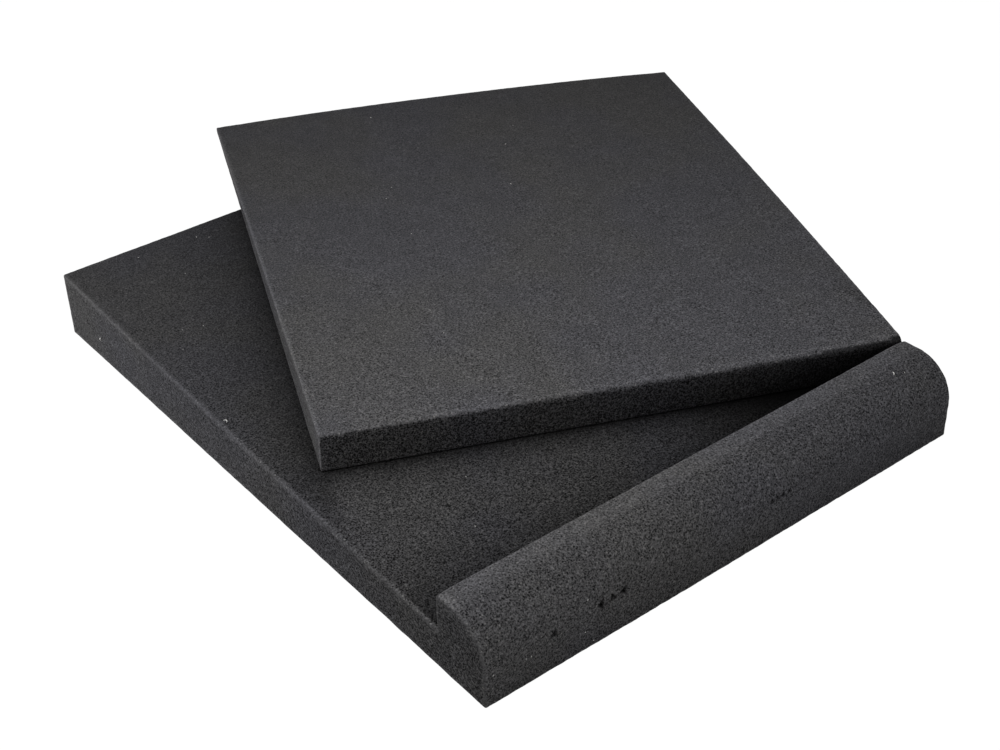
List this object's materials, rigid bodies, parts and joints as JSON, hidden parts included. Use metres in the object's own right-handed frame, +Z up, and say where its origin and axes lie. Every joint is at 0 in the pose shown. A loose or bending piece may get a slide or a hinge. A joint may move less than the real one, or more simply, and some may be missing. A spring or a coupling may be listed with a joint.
{
  "type": "speaker isolation pad",
  "caption": "Foam isolation pad for a desktop speaker: a sloping base with a rounded stop lip, and a loose wedge insert lying turned on its seat.",
  "frame": {"origin": "centre of the base pad's flat underside", "axes": "+X along the stop lip to the right as seen from the lip's side, +Y from the lip to the thick back edge, +Z up"},
  "size_m": [0.3777, 0.4102, 0.0427],
  "materials": {
    "charcoal_foam": "matte open-cell foam, cut surfaces"
  },
  "bodies": {
    "root": {"base_pad": "charcoal_foam", "wedge_insert": "charcoal_foam"}
  },
  "joints": []
}
